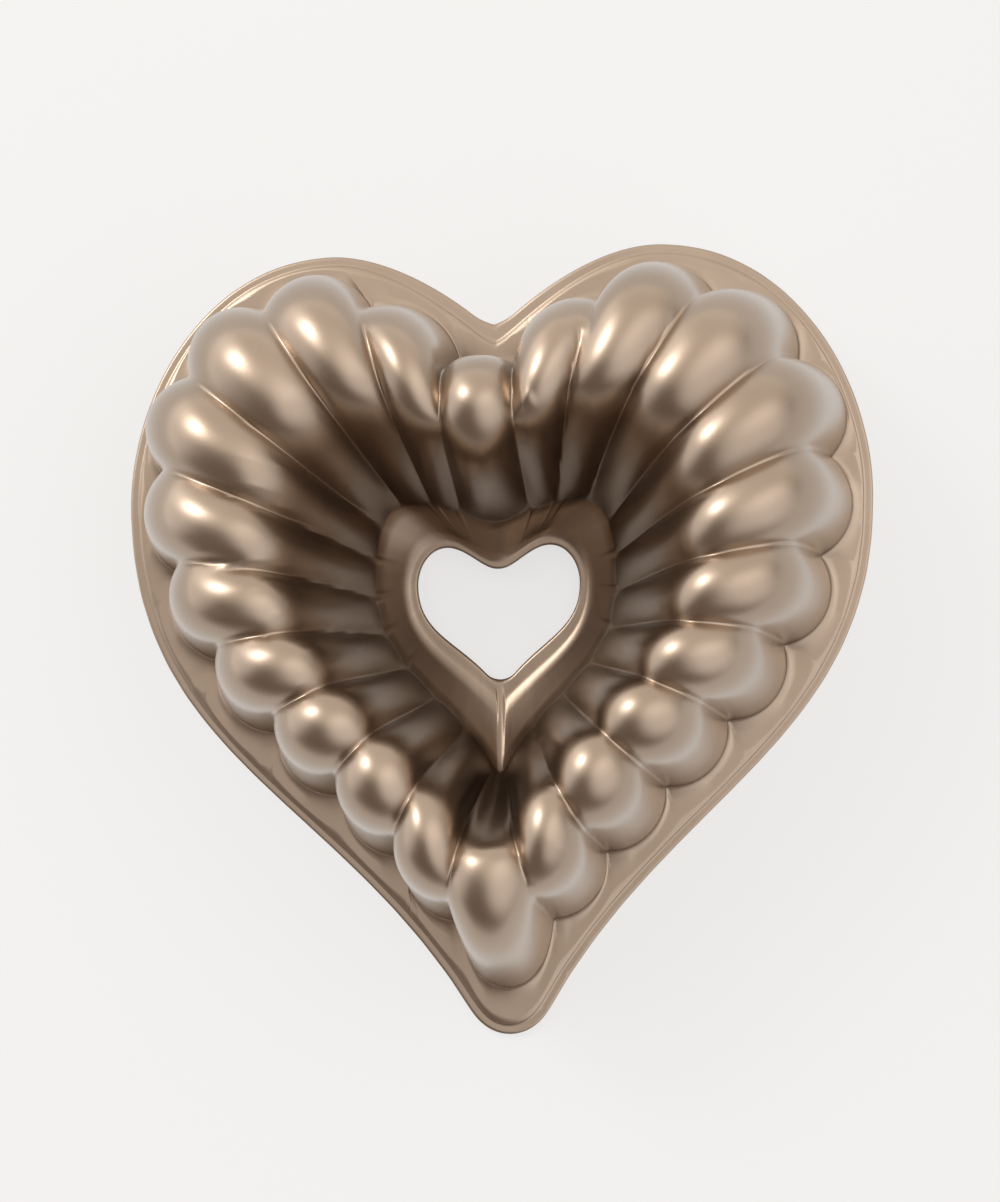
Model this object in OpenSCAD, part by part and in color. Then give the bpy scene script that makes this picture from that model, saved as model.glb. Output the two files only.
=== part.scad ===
// Heart-shaped fluted tube pan, one cast piece, standing upside down on its rim.
// The rim lies on z = 0, the crown is up, the notch of the heart is toward +Y.

/* [Rim] */
// Half width of the rim, from the middle to its widest point
rim_half_w = 134; // [128:0.5:142]
// Height in plan of the widest point
rim_side_y = 50; // [44:0.5:56]
// Sideways place of the two round tops
rim_top_x = 59; // [55:0.5:64]
// Height in plan of the two round tops
rim_top_y = 141; // [136:0.5:146]
// Height in plan of the notch
rim_notch_y = 114; // [110:0.5:118]
// Radius inside the notch
rim_notch_r = 7.8; // [5:0.2:9]
// Slope of the outline leaving the notch, in degrees
rim_notch_a = 41; // [36:1:44]
// Height in plan of the tip
rim_tip_y = -141; // [-146:0.5:-137]
// Radius round the tip
rim_tip_r = 15; // [12:0.5:17]
// Lean of the flanks away from the tip, in degrees
rim_flank_a = 30; // [26:1:36]
// Width of the lower band round the edge
band_w = 3.4; // [2.4:0.1:4.2]
// Thickness of the lower band
band_t = 2.4; // [2:0.1:2.8]
// Thickness of the flange inside the band
flange_t = 3.4; // [3.1:0.1:4]
// Extra depth of the flange edge in the notch
notch_step = 4; // [3:0.2:5]

/* [Flutes] */
// Height of the creases between the flutes, over the crown
crease_h = 82; // [78:0.5:88]
// How far each flute is rounded, as half of its arc in degrees
bulge_a = 54; // [46:1:58]
// The same where the flutes run out on the collar
bulge_in = 26; // [12:1:36]
// Half of the arc of the notch flute, which is a rounder one, in degrees
notch_bulge_a = 76; // [60:1:80]
// Flutes on each side, between the notch flute and the tip flute
side_flutes = 10; // [8:1:11]
// How much wider the flutes are near the notch than near the tip, at the foot
foot_taper = 0.14; // [0:0.01:0.18]
// The same on the collar, where they are narrower near the notch
collar_taper = -0.26; // [-0.3:0.01:-0.1]
// Where the crown stands along a crease, as a share from foot to collar
crown_share = 0.5; // [0.42:0.01:0.54]
// The same at the tip, where the crown stands nearer the foot
crown_share_tip = 0.38; // [0.32:0.01:0.44]
// Lean of the outer wall from upright, in degrees
wall_draft = 12.8; // [11:0.2:14]
// Length of the straight pull at the foot of the wall
wall_pull = 59.5; // [56:0.5:63]
// Roundness of the crown on its outer side, as a share of its reach
crown_out = 0.91; // [0.8:0.01:0.97]
// Roundness of the crown on its inner side, as a share of the funnel
crown_in = 0.37; // [0.3:0.01:0.46]
// Length of the straight pull at the foot of the funnel
funnel_pull = 19; // [14:1:25]
// Slope of the funnel wall, in degrees
funnel_a = 58; // [52:1:62]
// Fillet between flange and wall
foot_r = 3.2; // [2:0.1:4]

/* [Foot outline] */
// Half width of the outline through the feet of the creases
foot_half_w = 120.2; // [118:0.2:122]
// Height in plan of its widest point
foot_side_y = 62; // [57:0.5:66]
// Sideways place of its two tops
foot_top_x = 59.5; // [56:0.5:63]
// Height in plan of its two tops
foot_top_y = 125.2; // [123:0.2:127]
// Height in plan of its notch
foot_notch_y = 91.5; // [89:0.5:94]
// Height in plan of its tip
foot_tip_y = -118.2; // [-120:0.2:-116]
// Radius round its tip
foot_tip_r = 10; // [8:0.5:14]
// Half width of the notch flute at its foot
foot_first = 13.5; // [11:0.5:16]
// Half width of the tip flute along its foot
foot_last = 25; // [22:0.5:28]

/* [Tube] */
// Height at which the flutes run out on the collar
collar_h = 18.6; // [16:0.2:23]
// Half width of the collar where the flutes run out
collar_half_w = 42.5; // [40:0.5:45]
// Height in plan of its widest point
collar_side_y = 19.5; // [17:0.5:22]
// Sideways place of its two tops
collar_top_x = 30; // [28:0.5:32]
// Height in plan of its two tops
collar_top_y = 47.5; // [45:0.5:50]
// Height in plan of its notch
collar_notch_y = 40.5; // [39:0.5:42]
// Height in plan of its tip
collar_tip_y = -48; // [-51:0.5:-45]
// Half width of the notch flute on the collar
collar_first = 13; // [11:0.5:15]
// Half width of the tip flute on the collar
collar_last = 4; // [3:0.5:6]

/* [Ring and hole] */
// Height of the flat ring above the table
ring_h = 9.4; // [7:0.2:12]
// Half width of the ring
ring_half_w = 32.2; // [31.4:0.1:33]
// Height in plan of the tops of the ring
ring_top_y = 36.2; // [35.4:0.1:37]
// Height in plan of the notch of the ring
ring_notch_y = 27.8; // [27:0.1:28.4]
// Height in plan of the tip of the ring
ring_tip_y = -23.4; // [-25:0.2:-21.4]
// Half width of the hole
hole_half_w = 29; // [28:0.1:29.4]
// Sideways place of the tops of the hole
hole_top_x = 18.4; // [17.5:0.1:19]
// Height in plan of the tops of the hole
hole_top_y = 33.1; // [32.4:0.1:33.4]
// Height in plan of the notch of the hole
hole_notch_y = 24.9; // [24.2:0.1:25.4]
// Height in plan of the tip of the hole
hole_tip_y = -14.6; // [-15.6:0.2:-13]
// Height in plan of the widest point of ring and hole
hole_side_y = 19.5; // [18:0.5:21]

/* [Wall] */
// Thickness of the cast wall
wall = 3; // [2.4:0.1:3.2]

/* [Hidden] */

// Facets across one flute, and points on the right half of every row.
seg = 8;
half_n = (side_flutes + 1) * seg;

foot_notch_r = 12;
foot_notch_a = 32;
foot_flank_a = 33;
collar_notch_r = 12;
collar_notch_a = 23;
collar_tip_r = 1.4;
collar_flank_a = 28;
hole_notch_r = 8;
hole_notch_a = 28;
ring_tip_r = 1;
ring_flank_a = 44;
hole_tip_r = 7;
hole_flank_a = 42;

// Sizes of one heart outline: half width, side y, top x, top y, notch y,
// notch radius, notch slope, tip y, tip radius, flank lean.
rim = [rim_half_w, rim_side_y, rim_top_x, rim_top_y, rim_notch_y,
       rim_notch_r, rim_notch_a, rim_tip_y, rim_tip_r, rim_flank_a];
step = [rim_half_w - band_w, rim_side_y, rim_top_x, rim_top_y - band_w,
        rim_notch_y - band_w - notch_step, rim_notch_r / 2, rim_notch_a,
        rim_tip_y + band_w, rim_tip_r - band_w, rim_flank_a];
foot = [foot_half_w, foot_side_y, foot_top_x, foot_top_y, foot_notch_y,
        foot_notch_r, foot_notch_a, foot_tip_y, foot_tip_r, foot_flank_a];
collar = [collar_half_w, collar_side_y, collar_top_x, collar_top_y,
          collar_notch_y, collar_notch_r, collar_notch_a,
          collar_tip_y, collar_tip_r, collar_flank_a];
ring = [ring_half_w, hole_side_y, hole_top_x, ring_top_y, ring_notch_y,
        hole_notch_r, hole_notch_a, ring_tip_y, ring_tip_r, ring_flank_a];
hole = [hole_half_w, hole_side_y, hole_top_x, hole_top_y, hole_notch_y,
        hole_notch_r, hole_notch_a, hole_tip_y, hole_tip_r, hole_flank_a];

// Length of the handles of the three smooth stretches of an outline.
handle_top = 0.32;
handle_side = 0.38;
handle_flank = 0.41;

// Steps in the round of the notch or the tip, and in each smooth stretch.
arc_n = 6;
stretch_n = 16;

function toward(a) = [cos(a), sin(a)];

function arc(c, r, a, b, n) =
    [for (i = [0:n]) c + r * toward(a + (b - a) * i / n)];

function curve(a, b, c, d, t) =
    pow(1 - t, 3) * a + 3 * pow(1 - t, 2) * t * b
    + 3 * (1 - t) * t * t * c + pow(t, 3) * d;

function pull(a, b, c, d, t) =
    pow(1 - t, 2) * (b - a) + 2 * (1 - t) * t * (c - b) + t * t * (d - c);

// Smooth stretch between two points that leaves and arrives at given angles.
function stretch(p, pa, q, qa, share, n) =
    let (k = share * norm(q - p))
    [for (i = [1:n]) curve(p, p + k * toward(pa), q - k * toward(qa), q, i / n)];

// Right half of a heart, from the notch to the tip.
function half_heart(h) =
    let (start = arc([0, h[4] + h[5]], h[5], -90, h[6] - 90, arc_n),
         end = arc([0, h[7] + h[8]], h[8], -h[9], -90, arc_n),
         top = [h[2], h[3]],
         side = [h[0], h[1]])
    concat(start,
           stretch(start[arc_n], h[6], top, 0, handle_top, stretch_n),
           stretch(top, 0, side, -90, handle_side, stretch_n),
           stretch(side, -90, end[0], -90 - h[9], handle_flank, stretch_n),
           [for (i = [1:arc_n]) end[i]]);

function running(p) =
    [for (i = 0, s = 0; i < len(p); i = i + 1, s = i < len(p) ? s + norm(p[i] - p[i - 1]) : s) s];

// A track is an outline that can be read at any length along it.
function track(h) =
    let (p = half_heart(h), s = running(p))
    [s[len(s) - 1],
     [for (i = [0:len(p) - 1]) [s[i], p[i][0]]],
     [for (i = [0:len(p) - 1]) [s[i], p[i][1]]]];

function flipped(p) = len(p) > 2 ? [-p[0], p[1], p[2]] : [-p[0], p[1]];

// Point i of a row; past the notch or the tip the row is its own mirror image.
function in_row(row, i) =
    i < 0 ? flipped(row[-i])
    : i > half_n ? flipped(row[2 * half_n - i])
    : row[i];

function on_track(t, s) =
    s < 0 ? flipped(on_track(t, -s))
    : s > t[0] ? flipped(on_track(t, 2 * t[0] - s))
    : [lookup(s, t[1]), lookup(s, t[2])];

// Length along a track at which crease j stands; first and last are the half
// widths of the notch flute and the tip flute.
function crease_at(t, first, last, taper, j) =
    j < 0 ? -first
    : j > side_flutes ? t[0] + last
    : let (u = j / side_flutes)
      first + (t[0] - first - last) * (u + taper * u * (1 - u));

function flute_of(i) = floor((i + seg / 2) / seg);

// Half arc of flute q at its foot.
function half_arc(q) = q == 0 ? notch_bulge_a : bulge_a;

// Share of the way across its flute of column i, spaced as on the flute's arc.
function across(i) =
    let (q = flute_of(i), a = half_arc(q), t = (i + seg / 2) / seg - q)
    0.5 + 0.5 * sin((2 * t - 1) * a) / sin(a);

function spread(t, first, last, taper) =
    [for (i = [0:half_n])
        let (q = flute_of(i),
             a = crease_at(t, first, last, taper, q - 1),
             b = crease_at(t, first, last, taper, q))
        on_track(t, a + (b - a) * across(i))];

rim_track = track(rim);
step_track = track(step);
foot_track = track(foot);
collar_track = track(collar);
ring_track = track(ring);
hole_track = track(hole);

// Half widths of the notch flute and the tip flute carried to the other outlines.
rim_first = 17;
rim_last = 24;
step_first = 15;
step_last = 23;
ring_first = 7;
ring_last = 4;
rim_line = spread(rim_track, rim_first, rim_last, foot_taper);
step_line = spread(step_track, step_first, step_last, foot_taper);
foot_line = spread(foot_track, foot_first, foot_last, foot_taper);
collar_line = spread(collar_track, collar_first, collar_last, collar_taper);
ring_line = spread(ring_track, ring_first, ring_last, collar_taper);
hole_line = spread(hole_track, ring_first, ring_last, collar_taper);

foot_crease = [for (j = [-1:side_flutes + 1])
    on_track(foot_track, crease_at(foot_track, foot_first, foot_last, foot_taper, j))];
collar_crease = [for (j = [-1:side_flutes + 1])
    on_track(collar_track,
             crease_at(collar_track, collar_first, collar_last, collar_taper, j))];

// Section along a crease as [distance in from the foot, height], with its slope.
function wall_section(t, reach) =
    let (a = [0, flange_t],
         b = a + wall_pull * [tan(wall_draft), 1],
         c = [reach * (1 - crown_out), crease_h],
         d = [reach, crease_h])
    [curve(a, b, c, d, t), pull(a, b, c, d, t)];

function funnel_section(t, reach, length) =
    let (a = [reach, crease_h],
         b = a + [(length - reach) * crown_in, 0],
         d = [length, collar_h],
         c = d + funnel_pull * [-cos(funnel_a), sin(funnel_a)])
    [curve(a, b, c, d, t), pull(a, b, c, d, t)];

// How suddenly the share of the crown changes on the way to the tip.
tip_power = 6;

// Share of the crown at column i, with the columns past the tip mirrored.
function share_at(i) =
    let (c = min(abs(i), 2 * half_n - i) / half_n)
    crown_share + (crown_share_tip - crown_share) * pow(c, tip_power);

function section(s, length, share) =
    s <= 1 ? wall_section(s, length * share)
    : funnel_section(s - 1, length * share, length);

// Column of the crease before flute q.
function crease_column(q) = (q - 0.5) * seg;

function between(a, b, d) = a + (b - a) * d / norm(b - a);

// Half arc under which a flute counts as flat, in degrees.
flat_a = 0.5;

// Height of the round of a flute over its chord.
function round_up(chord, a, t) =
    a < flat_a ? 0
    : let (r = chord / 2 / sin(a), x = (2 * t - 1) * sin(a))
      r * (sqrt(1 - x * x) - cos(a));

// The rounds run out on the collar over the last part of the funnel.
run_out = 0.35;

function fade(s) =
    s < 2 - run_out ? 1 : sqrt(max(0, 1 - pow((s - 2 + run_out) / run_out, 2)));

// Half arc of a flute on its way from foot to collar.
function arch_at(q, s) =
    let (a = half_arc(q))
    a + (bulge_in - a) * pow(s / 2, 3);

// On the crown a flute stands straight across between its creases; toward foot
// and collar it follows the heart outline there.
function fluted(i, s) =
    let (q = flute_of(i),
         foot_p = foot_line[i],
         collar_p = collar_line[i],
         cut = section(s, norm(collar_p - foot_p), share_at(i)),
         own = between(foot_p, collar_p, cut[0][0]),
         fa = foot_crease[q],
         ka = collar_crease[q],
         fb = foot_crease[q + 1],
         kb = collar_crease[q + 1],
         va = between(fa, ka, section(s, norm(ka - fa), share_at(crease_column(q)))[0][0]),
         vb = between(fb, kb, section(s, norm(kb - fb), share_at(crease_column(q + 1)))[0][0]),
         chord = vb - va,
         w = 1 - pow(min(s, 2 - s), 2),
         p = w * own + (1 - w) * (va + chord * across(i)),
         side = in_row(foot_line, i + 1) - in_row(foot_line, i - 1),
         along = chord / norm(chord) + max(0, 1 - s) * side / norm(side),
         out = [-along[1], along[0]] / norm(along),
         slope = cut[1] / norm(cut[1]),
         h = round_up(norm(chord), arch_at(q, s) * fade(s), across(i)),
         flat = p + out * h * slope[1])
    [flat[0], flat[1], cut[0][1] + h * slope[0]];

function lift(line, z) = [for (p = line) [p[0], p[1], z]];

function ring_of(s) = [for (i = [0:half_n]) fluted(i, s)];

// Outside, from the edge of the rim over the crown to the hole.
wall_stops = [0.06, 0.22, 0.4, 0.57, 0.73, 0.87, 1];
funnel_stops = [1.15, 1.33, 1.52, 1.7, 1.85, 1.95, 2];
foot_ring = ring_of(wall_stops[0]);

// Middle of the fillet, as far from the wall as it is over the flange.
fillet_mid = foot_r * (1 - cos(45));

function foot_spread(i, d, z) =
    let (p = foot_ring[i], q = step_line[i], v = [q[0] - p[0], q[1] - p[1]])
    [p[0] + v[0] / norm(v) * d, p[1] + v[1] / norm(v) * d, z];

outside = concat(
    [lift(rim_line, 0),
     lift(rim_line, band_t),
     lift(step_line, band_t),
     lift(step_line, flange_t),
     [for (i = [0:half_n]) foot_spread(i, foot_r, flange_t)],
     [for (i = [0:half_n]) foot_spread(i, fillet_mid, flange_t + fillet_mid)]],
    [for (s = wall_stops) ring_of(s)],
    [for (s = funnel_stops) ring_of(s)],
    [lift(ring_line, ring_h),
     lift(hole_line, ring_h),
     lift(hole_line, ring_h - wall)]);

// The creases are cast thicker than the rounds.
crease_wall = 1.3;

// Point of the inner skin under point i of outside row m.
function under(m, i) =
    let (u = in_row(outside[m], i + 1) - in_row(outside[m], i - 1),
         v = outside[m + 1][i] - outside[m - 1][i],
         n = cross(u, v),
         deep = wall * ((i + seg / 2) % seg == 0 ? crease_wall : 1))
    outside[m][i] + deep * n / norm(n);

// Outside rows that have an inside row under them, and the last one by the mouth.
inside_rows = [20, 19, 18, 17, 16, 14, 12, 10, 8, 7];
mouth_row = 6;

inside = concat(
    [for (m = inside_rows) [for (i = [0:half_n]) under(m, i)]],
    [[for (i = [0:half_n]) let (p = under(mouth_row, i)) [p[0], p[1], 0]]]);

function whole(row) =
    concat(row, [for (i = [half_n - 1:-1:1]) flipped(row[i])]);

rows = [for (r = concat(outside, inside)) whole(r)];
count = 2 * half_n;

module pan() {
    n = len(rows);
    color("tan")
        polyhedron(
            points = [for (r = rows) for (p = r) p],
            faces = [for (m = [0:n - 1]) for (i = [0:count - 1])
                let (a = m * count, b = (m + 1) % n * count, k = (i + 1) % count)
                [a + i, a + k, b + k, b + i]],
            convexity = 10);
}

pan();
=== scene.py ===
import math

import bmesh
import bpy
from mathutils import Matrix, Vector
from mathutils.bvhtree import BVHTree


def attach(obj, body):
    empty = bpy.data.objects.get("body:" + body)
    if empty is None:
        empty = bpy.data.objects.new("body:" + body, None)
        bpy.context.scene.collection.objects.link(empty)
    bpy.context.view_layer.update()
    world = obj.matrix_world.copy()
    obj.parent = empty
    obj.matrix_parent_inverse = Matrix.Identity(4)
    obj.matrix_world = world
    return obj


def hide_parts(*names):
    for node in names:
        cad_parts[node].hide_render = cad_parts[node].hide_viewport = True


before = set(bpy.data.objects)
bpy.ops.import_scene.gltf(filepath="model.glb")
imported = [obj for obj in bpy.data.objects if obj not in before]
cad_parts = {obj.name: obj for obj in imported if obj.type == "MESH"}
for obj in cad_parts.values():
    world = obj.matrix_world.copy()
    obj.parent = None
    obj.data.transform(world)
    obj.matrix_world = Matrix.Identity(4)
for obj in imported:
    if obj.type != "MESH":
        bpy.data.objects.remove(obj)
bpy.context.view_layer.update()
scene = bpy.context.scene
print("frame loaded:", ", ".join(sorted(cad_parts)))


# Camera, lights and floor.

cameraSet = {
    "tiltRight": 4.9,       # degrees from straight above, toward +X
    "tiltTip": 3.95,        # degrees toward -Y
    "height": 1.1,          # metres over the table
    "roll": -1.34,          # degrees, the pan lies a little turned in the picture
    "metresPerPixel": 0.000359,
    "middlePixel": (502.0, 640.07),  # where the frame's origin lands in the picture
    "pictureSize": (1000, 1202),
    "sensor": 36.0,
    "nearest": 0.01,
    "farthest": 20,
}


def placeCamera(look):
    spot = Vector((math.tan(math.radians(look["tiltRight"])),
                   -math.tan(math.radians(look["tiltTip"])), 1.0)) * look["height"]
    back = spot.normalized()
    right = Vector((0, 1, 0)).cross(back).normalized()
    up = back.cross(right)
    turn = Matrix.Rotation(math.radians(look["roll"]), 3, back)
    axes = Matrix((turn @ right, turn @ up, back)).transposed().to_4x4()
    axes.translation = spot
    data = bpy.data.cameras.new("photoCamera")
    camera = bpy.data.objects.new("photoCamera", data)
    scene.collection.objects.link(camera)
    camera.matrix_world = axes
    wide, high = look["pictureSize"]
    data.sensor_fit = "VERTICAL" if high > wide else "HORIZONTAL"
    data.sensor_width = look["sensor"]
    data.sensor_height = look["sensor"]
    longSide = max(wide, high)
    data.lens = look["sensor"] * spot.length / look["metresPerPixel"] / longSide
    data.shift_x = (wide / 2 - look["middlePixel"][0]) / longSide
    data.shift_y = (look["middlePixel"][1] - high / 2) / longSide
    data.clip_start = look["nearest"]
    data.clip_end = look["farthest"]
    scene.camera = camera


placeCamera(cameraSet)
print("camera placed")

lampSet = {
    "key": {"azimuth": 137, "height": 44, "reach": 1.7, "size": (0.5, 0.5), "power": 6,
            "colour": (1.0, 0.985, 0.96)},
}


def towards(azimuth, height):
    azimuth, height = math.radians(azimuth), math.radians(height)
    return Vector((math.cos(azimuth) * math.cos(height),
                   math.sin(azimuth) * math.cos(height), math.sin(height)))


def placeLamp(name, look):
    way = towards(look["azimuth"], look["height"])
    data = bpy.data.lights.new(name, "AREA")
    data.shape = "RECTANGLE"
    data.size, data.size_y = look["size"]
    data.energy = look["power"]
    data.color = look["colour"]
    lamp = bpy.data.objects.new(name, data)
    scene.collection.objects.link(lamp)
    lamp.location = way * look["reach"]
    lamp.rotation_euler = (-way).to_track_quat("-Z", "Y").to_euler()


for lampName, lampLook in lampSet.items():
    placeLamp(lampName, lampLook)

roomSet = {
    "seenColour": (0.913, 0.896, 0.88),  # where the camera sees past the floor
    "floorGlowColour": (0.905, 0.893, 0.881),  # of the share of the floor that glows by itself
    "dimColour": (0.24, 0.20, 0.172),     # the room where no soft light reaches it
    "floorSize": 8.0,
    "floorDrop": 0.0002,
    "floorColour": (0.80, 0.80, 0.795),
    "floorGlow": 0.78,      # that share as the camera sees it
    "floorMirrorGlow": 1.0,  # that share as the metal reflects it
    "shadeFrom": 0.045,     # metres from the middle, up to here the metal sees no glow
    "shadeTo": 0.10,        # and from here on it sees the whole share
    # wide soft lights of the room: way, angle where each is full, angle where it ends
    "glows": (
        {"azimuth": 85, "height": 38, "full": 25, "end": 72, "colour": (0.80, 0.78, 0.75)},
        {"azimuth": -18, "height": 48, "full": 14, "end": 55, "colour": (1.02, 1.03, 1.06)},
        {"azimuth": 160, "height": 12, "full": 18, "end": 52, "colour": (0.95, 0.96, 0.99)},
        {"azimuth": 137, "height": 44, "full": 3, "end": 24, "colour": (0.6, 0.64, 0.68)},
        {"azimuth": 0, "height": -90, "full": 84, "end": 112, "colour": (0.42, 0.44, 0.46)},
    ),
}


def makeRoom(look):
    world = bpy.data.worlds.new("paleRoom")
    scene.world = world
    world.use_nodes = True
    nodes, links = world.node_tree.nodes, world.node_tree.links
    nodes.clear()
    place = nodes.new("ShaderNodeTexCoord")
    total = None
    for glow in look["glows"]:
        dot = nodes.new("ShaderNodeVectorMath")
        dot.operation = "DOT_PRODUCT"
        dot.inputs[1].default_value = towards(glow["azimuth"], glow["height"])
        links.new(place.outputs["Generated"], dot.inputs[0])
        edge = nodes.new("ShaderNodeMapRange")
        edge.interpolation_type = "SMOOTHSTEP"
        edge.inputs["From Min"].default_value = math.cos(math.radians(glow["end"]))
        edge.inputs["From Max"].default_value = math.cos(math.radians(glow["full"]))
        links.new(dot.outputs["Value"], edge.inputs["Value"])
        add = nodes.new("ShaderNodeVectorMath")
        add.operation = "MULTIPLY_ADD"
        add.inputs[1].default_value = glow["colour"]
        links.new(edge.outputs["Result"], add.inputs[0])
        if total:
            links.new(total, add.inputs[2])
        else:
            add.inputs[2].default_value = look["dimColour"]
        total = add.outputs["Vector"]
    path = nodes.new("ShaderNodeLightPath")
    seen = nodes.new("ShaderNodeBackground")
    seen.inputs["Color"].default_value = (*look["seenColour"], 1)
    room = nodes.new("ShaderNodeBackground")
    links.new(total, room.inputs["Color"])
    pick = nodes.new("ShaderNodeMixShader")
    out = nodes.new("ShaderNodeOutputWorld")
    links.new(path.outputs["Is Camera Ray"], pick.inputs["Fac"])
    links.new(room.outputs["Background"], pick.inputs[1])
    links.new(seen.outputs["Background"], pick.inputs[2])
    links.new(pick.outputs["Shader"], out.inputs["Surface"])


def makeFloor(look):
    mesh = bpy.data.meshes.new("floor")
    shape = bmesh.new()
    bmesh.ops.create_grid(shape, x_segments=1, y_segments=1, size=look["floorSize"] / 2)
    bmesh.ops.translate(shape, verts=shape.verts, vec=(0, 0, -look["floorDrop"]))
    shape.to_mesh(mesh)
    shape.free()
    floor = bpy.data.objects.new("floor", mesh)
    scene.collection.objects.link(floor)
    material = bpy.data.materials.new("paleTable")
    material.use_nodes = True
    nodes, links = material.node_tree.nodes, material.node_tree.links
    nodes.clear()
    path = nodes.new("ShaderNodeLightPath")
    lit = nodes.new("ShaderNodeBsdfDiffuse")
    lit.inputs["Color"].default_value = (*look["floorColour"], 1)
    glow = nodes.new("ShaderNodeEmission")
    glow.inputs["Color"].default_value = (*look["floorGlowColour"], 1)
    cameraShare = nodes.new("ShaderNodeMath")
    cameraShare.operation = "MULTIPLY"
    cameraShare.inputs[1].default_value = look["floorGlow"]
    place = nodes.new("ShaderNodeTexCoord")
    far = nodes.new("ShaderNodeVectorMath")
    far.operation = "LENGTH"
    # Painted shadow of the pan: the floor's glow, as the metal reflects it, fades out toward the
    # middle under the pan.
    shade = nodes.new("ShaderNodeMapRange")
    shade.interpolation_type = "SMOOTHSTEP"
    shade.inputs["From Min"].default_value = look["shadeFrom"]
    shade.inputs["From Max"].default_value = look["shadeTo"]
    shade.inputs["To Max"].default_value = look["floorMirrorGlow"]
    mirrorShare = nodes.new("ShaderNodeMath")
    mirrorShare.operation = "MULTIPLY_ADD"
    pick = nodes.new("ShaderNodeMixShader")
    out = nodes.new("ShaderNodeOutputMaterial")
    links.new(path.outputs["Is Camera Ray"], cameraShare.inputs[0])
    links.new(place.outputs["Object"], far.inputs[0])
    links.new(far.outputs["Value"], shade.inputs["Value"])
    links.new(path.outputs["Is Glossy Ray"], mirrorShare.inputs[0])
    links.new(shade.outputs["Result"], mirrorShare.inputs[1])
    links.new(cameraShare.outputs[0], mirrorShare.inputs[2])
    links.new(mirrorShare.outputs[0], pick.inputs["Fac"])
    links.new(lit.outputs["BSDF"], pick.inputs[1])
    links.new(glow.outputs["Emission"], pick.inputs[2])
    links.new(pick.outputs["Shader"], out.inputs["Surface"])
    mesh.materials.append(material)


makeRoom(roomSet)
makeFloor(roomSet)
print("lamps, room and floor made")


# The coat.

coatSet = {
    "colour": (0.43, 0.335, 0.255),
    "deepColour": (0.385, 0.295, 0.22),
    "roughness": (0.29, 0.36),
    "gloss": 0.5,           # clear top coat
    "glossRoughness": 0.22,
    "patchSize": 0.045,     # metres across one soft patch of tone
    "patchEdges": (0.3, 0.7),  # from here to here a patch goes from one colour to the other
    "grainSize": 0.0011,
    "grainDepth": 0.000012,
    "waveSize": 0.022,      # slow unevenness of the casting, which breaks up reflections
    "waveDepth": 0.00022,
    "paintedShadeColour": (0.235, 0.175, 0.13),  # painted shade: the coat is painted darker where the pan hides much of its own sky
    "paintedShadeFrom": 0.30,     # share of the sky hidden by the pan where this starts
    "paintedShadeTo": 0.75,
    "paintedShadeGloss": 0.25,    # share of the top coat left where the painted shade is full, which dims the reflections there
}


def nodeGroup(name, ins, outs):
    group = bpy.data.node_groups.new(name, "ShaderNodeTree")
    for label, kind in ins:
        group.interface.new_socket(name=label, in_out="INPUT", socket_type=kind)
    for label, kind in outs:
        group.interface.new_socket(name=label, in_out="OUTPUT", socket_type=kind)
    return group, group.nodes.new("NodeGroupInput"), group.nodes.new("NodeGroupOutput")


# Soft patches of tone, a sprayed grain and slow waves, in metres of the object's own space.
def makeCastSkin():
    floatKind, vectorKind = "NodeSocketFloat", "NodeSocketVector"
    detail = {"patch": (3.0, 0.5), "grain": (2.0, 0.6), "wave": (1.5, 0.45)}  # and roughness
    group, start, end = nodeGroup(
        "castSkin",
        [("Patch size", floatKind), ("Grain size", floatKind), ("Grain depth", floatKind),
         ("Wave size", floatKind), ("Wave depth", floatKind)],
        [("Patch", floatKind), ("Grain", floatKind), ("Normal", vectorKind)])
    nodes, links = group.nodes, group.links
    place = nodes.new("ShaderNodeTexCoord")

    def noise(size, fineness):
        invert = nodes.new("ShaderNodeMath")
        invert.operation = "DIVIDE"
        invert.inputs[0].default_value = 1.0
        links.new(start.outputs[size], invert.inputs[1])
        texture = nodes.new("ShaderNodeTexNoise")
        texture.inputs["Detail"].default_value = fineness[0]
        texture.inputs["Roughness"].default_value = fineness[1]
        links.new(place.outputs["Object"], texture.inputs["Vector"])
        links.new(invert.outputs[0], texture.inputs["Scale"])
        return texture.outputs["Fac"]

    def bump(height, depth, under):
        node = nodes.new("ShaderNodeBump")
        node.inputs["Strength"].default_value = 1.0
        links.new(height, node.inputs["Height"])
        links.new(start.outputs[depth], node.inputs["Distance"])
        if under:
            links.new(under, node.inputs["Normal"])
        return node.outputs["Normal"]

    patch = noise("Patch size", detail["patch"])
    grain = noise("Grain size", detail["grain"])
    wave = noise("Wave size", detail["wave"])
    slow = bump(wave, "Wave depth", None)
    fine = bump(grain, "Grain depth", slow)
    links.new(patch, end.inputs["Patch"])
    links.new(grain, end.inputs["Grain"])
    links.new(fine, end.inputs["Normal"])
    return group


castSkin = makeCastSkin()


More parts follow.
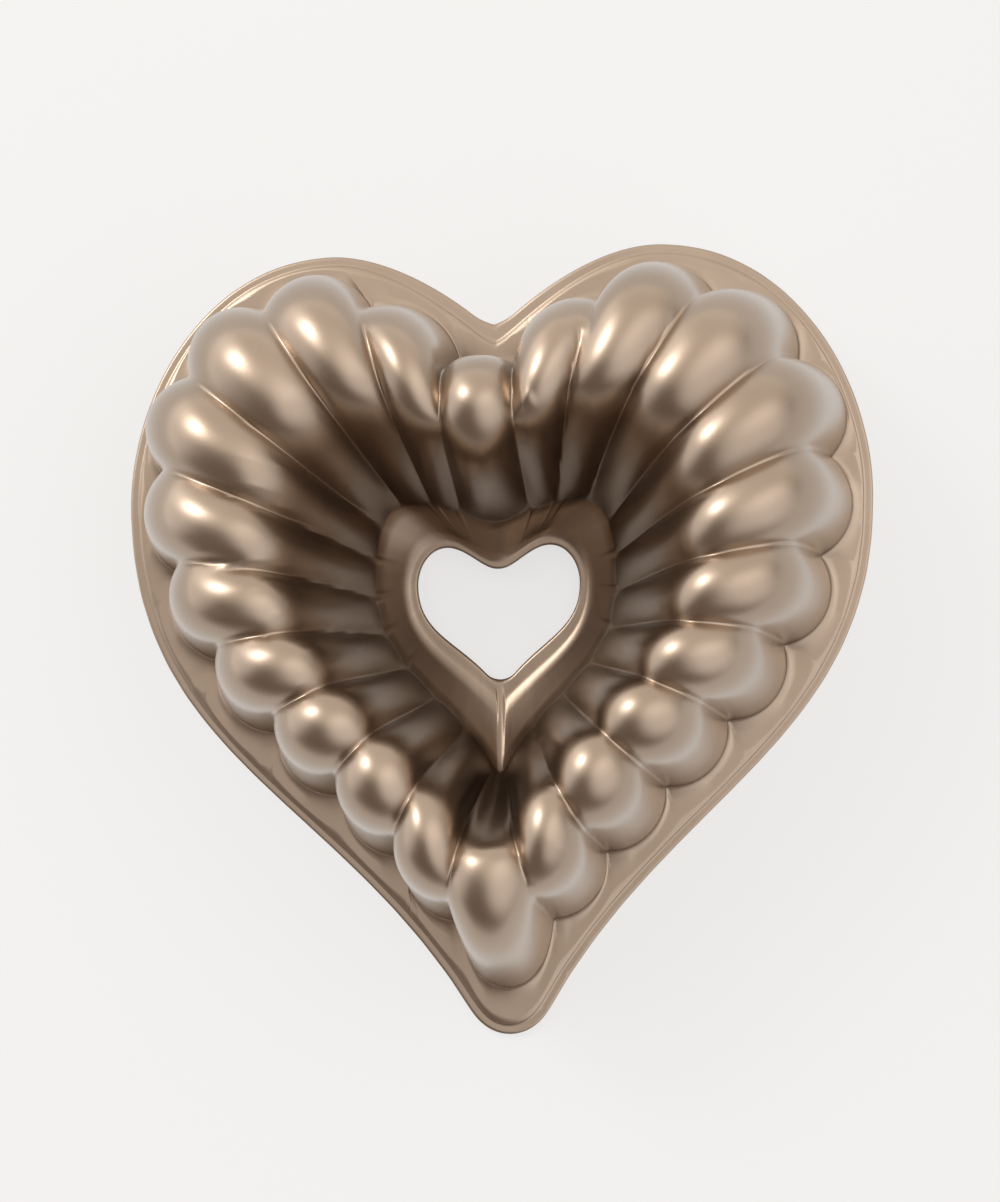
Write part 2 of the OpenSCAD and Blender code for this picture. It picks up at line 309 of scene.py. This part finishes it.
def makeCoat(name, look):
    material = bpy.data.materials.new(name)
    material.use_nodes = True
    nodes, links = material.node_tree.nodes, material.node_tree.links
    shader = nodes["Principled BSDF"]
    shader.inputs["Metallic"].default_value = 1.0
    shader.inputs["Coat Roughness"].default_value = look["glossRoughness"]
    skin = nodes.new("ShaderNodeGroup")
    skin.node_tree = castSkin
    skin.inputs["Patch size"].default_value = look["patchSize"]
    skin.inputs["Grain size"].default_value = look["grainSize"]
    skin.inputs["Grain depth"].default_value = look["grainDepth"]
    skin.inputs["Wave size"].default_value = look["waveSize"]
    skin.inputs["Wave depth"].default_value = look["waveDepth"]
    tone = nodes.new("ShaderNodeValToRGB")
    tone.color_ramp.elements[0].position = look["patchEdges"][0]
    tone.color_ramp.elements[0].color = (*look["deepColour"], 1)
    tone.color_ramp.elements[1].position = look["patchEdges"][1]
    tone.color_ramp.elements[1].color = (*look["colour"], 1)
    satin = nodes.new("ShaderNodeMapRange")
    satin.inputs["To Min"].default_value, satin.inputs["To Max"].default_value = look["roughness"]
    # Painted shade: where the pan hides much of its own sky, the base colour is mixed toward a
    # darker brown and the top coat is thinned.
    hidden = nodes.new("ShaderNodeAttribute")
    hidden.attribute_name = "paintedShade"
    paintedShade = nodes.new("ShaderNodeMapRange")
    paintedShade.interpolation_type = "SMOOTHSTEP"
    paintedShade.inputs["From Min"].default_value = look["paintedShadeFrom"]
    paintedShade.inputs["From Max"].default_value = look["paintedShadeTo"]
    shadeMix = nodes.new("ShaderNodeMix")
    shadeMix.data_type = "RGBA"
    shadeMix.inputs["B"].default_value = (*look["paintedShadeColour"], 1)
    gloss = nodes.new("ShaderNodeMapRange")
    gloss.inputs["To Min"].default_value = look["gloss"]
    gloss.inputs["To Max"].default_value = look["gloss"] * look["paintedShadeGloss"]
    links.new(hidden.outputs["Fac"], paintedShade.inputs["Value"])
    links.new(paintedShade.outputs["Result"], shadeMix.inputs["Factor"])
    links.new(paintedShade.outputs["Result"], gloss.inputs["Value"])
    links.new(skin.outputs["Patch"], tone.inputs["Fac"])
    links.new(skin.outputs["Grain"], satin.inputs["Value"])
    links.new(tone.outputs["Color"], shadeMix.inputs["A"])
    links.new(shadeMix.outputs["Result"], shader.inputs["Base Color"])
    links.new(gloss.outputs["Result"], shader.inputs["Coat Weight"])
    links.new(satin.outputs["Result"], shader.inputs["Roughness"])
    links.new(skin.outputs["Normal"], shader.inputs["Normal"])
    return material


coat = makeCoat("bronzeCoat", coatSet)
print("coat made")


# The pan.

panSet = {
    "mergeWithin": 0.000002,
    "quadAngle": 178,       # degrees, pairs of facets that make one face of the cage
    "valleyAngle": 25,      # a sharper valley keeps its line
    "edgeAngle": 50,        # a sharper outer edge keeps its line
    "valleyCrease": 0.85,
    "edgeCrease": 0.8,
    "levels": 2,
    "occlusionRays": 64,
    "occlusionLift": 0.0004,   # metres off the skin where a ray starts
    "occlusionReach": 0.15,    # metres, how far off the pan still hides the sky
}


# Each point gets the share of its sky that the pan itself hides, as its paintedShade value; the
# coat paints this share as shade.
def measureOcclusion(shape, look):
    shape.normal_update()
    tree = BVHTree.FromBMesh(shape)
    layer = shape.verts.layers.float.new("paintedShade")
    count = look["occlusionRays"]
    goldenTurn = math.pi * (3 - math.sqrt(5))  # spreads the rays evenly
    ways = []
    for i in range(count):
        out = math.sqrt((i + 0.5) / count)
        spin = i * goldenTurn
        ways.append(Vector((out * math.cos(spin), out * math.sin(spin),
                            math.sqrt(1 - out * out))))
    for point in shape.verts:
        turn = point.normal.to_track_quat("Z", "Y")
        start = point.co + point.normal * look["occlusionLift"]
        met = sum(1 for way in ways
                  if tree.ray_cast(start, turn @ way, look["occlusionReach"])[0] is not None)
        point[layer] = met / count


def makePan(look):
    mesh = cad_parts["pan"].data.copy()
    mesh.name = "castPan"
    pan = bpy.data.objects.new("castPan", mesh)
    scene.collection.objects.link(pan)
    shape = bmesh.new()
    shape.from_mesh(mesh)
    bmesh.ops.remove_doubles(shape, verts=shape.verts, dist=look["mergeWithin"])
    bmesh.ops.join_triangles(shape, faces=shape.faces,
                             angle_face_threshold=math.radians(look["quadAngle"]),
                             angle_shape_threshold=math.radians(look["quadAngle"]))
    crease = shape.edges.layers.float.new("crease_edge")
    valley, edge = math.radians(look["valleyAngle"]), math.radians(look["edgeAngle"])
    for line in shape.edges:
        bend = line.calc_face_angle_signed(0)
        if bend < -valley:
            line[crease] = look["valleyCrease"]
        elif bend > edge:
            line[crease] = look["edgeCrease"]
    for face in shape.faces:
        face.smooth = True
    # The hidden share of sky, stored per point, drives the coat's painted shade.
    measureOcclusion(shape, look)
    shape.to_mesh(mesh)
    shape.free()
    mesh.materials.clear()
    mesh.materials.append(coat)
    smooth = pan.modifiers.new("smooth", "SUBSURF")
    smooth.levels = look["levels"]
    smooth.render_levels = look["levels"]
    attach(pan, "root")
    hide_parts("pan")
    return pan


pan = makePan(panSet)
print("pan made:", len(pan.data.polygons), "faces in its cage")


# The view transform.

scene.view_settings.view_transform = "Standard"
